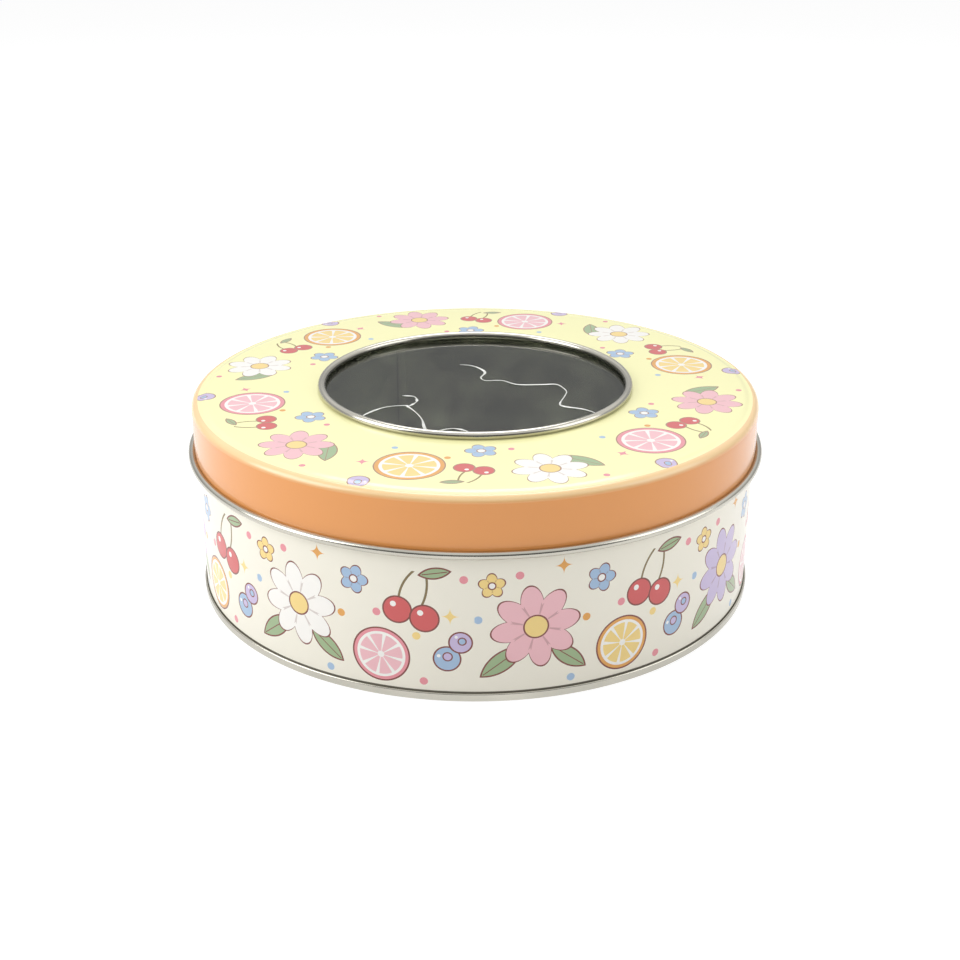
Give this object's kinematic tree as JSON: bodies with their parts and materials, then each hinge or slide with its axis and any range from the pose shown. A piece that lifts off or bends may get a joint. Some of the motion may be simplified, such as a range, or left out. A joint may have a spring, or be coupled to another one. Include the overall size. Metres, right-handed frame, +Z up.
{
  "type": "window lid tin",
  "caption": "Low round cookie tin with a slip-over lid. The lid has a round window with a rolled edge and a clear pane, and the bottom is double-seamed to a side-seamed wall.",
  "frame": {"origin": "centre of the tin's foot, on the surface that it stands on", "axes": "+Z up along the tin's axis, -Y towards the picture's camera, +X to its right"},
  "size_m": [0.1944, 0.1944, 0.0688],
  "materials": {
    "printed_body": "satin",
    "printed_lid": "gloss",
    "bare_tinplate": "bright",
    "clear_sheet": "clear",
    "sealing_compound": "matte",
    "glue": "matte"
  },
  "bodies": {
    "tin": {"body_wall": "printed_body", "bottom_end": "bare_tinplate", "seam_compound": "sealing_compound"},
    "lid": {"lid": "printed_lid", "window_pane": "clear_sheet", "pane_adhesive": "glue"}
  },
  "joints": [
    {"name": "lid_lift", "type": "slide", "parent": "tin", "child": "lid", "axis": [0, 0, 1], "range_m": [0, 0.1]}
  ]
}
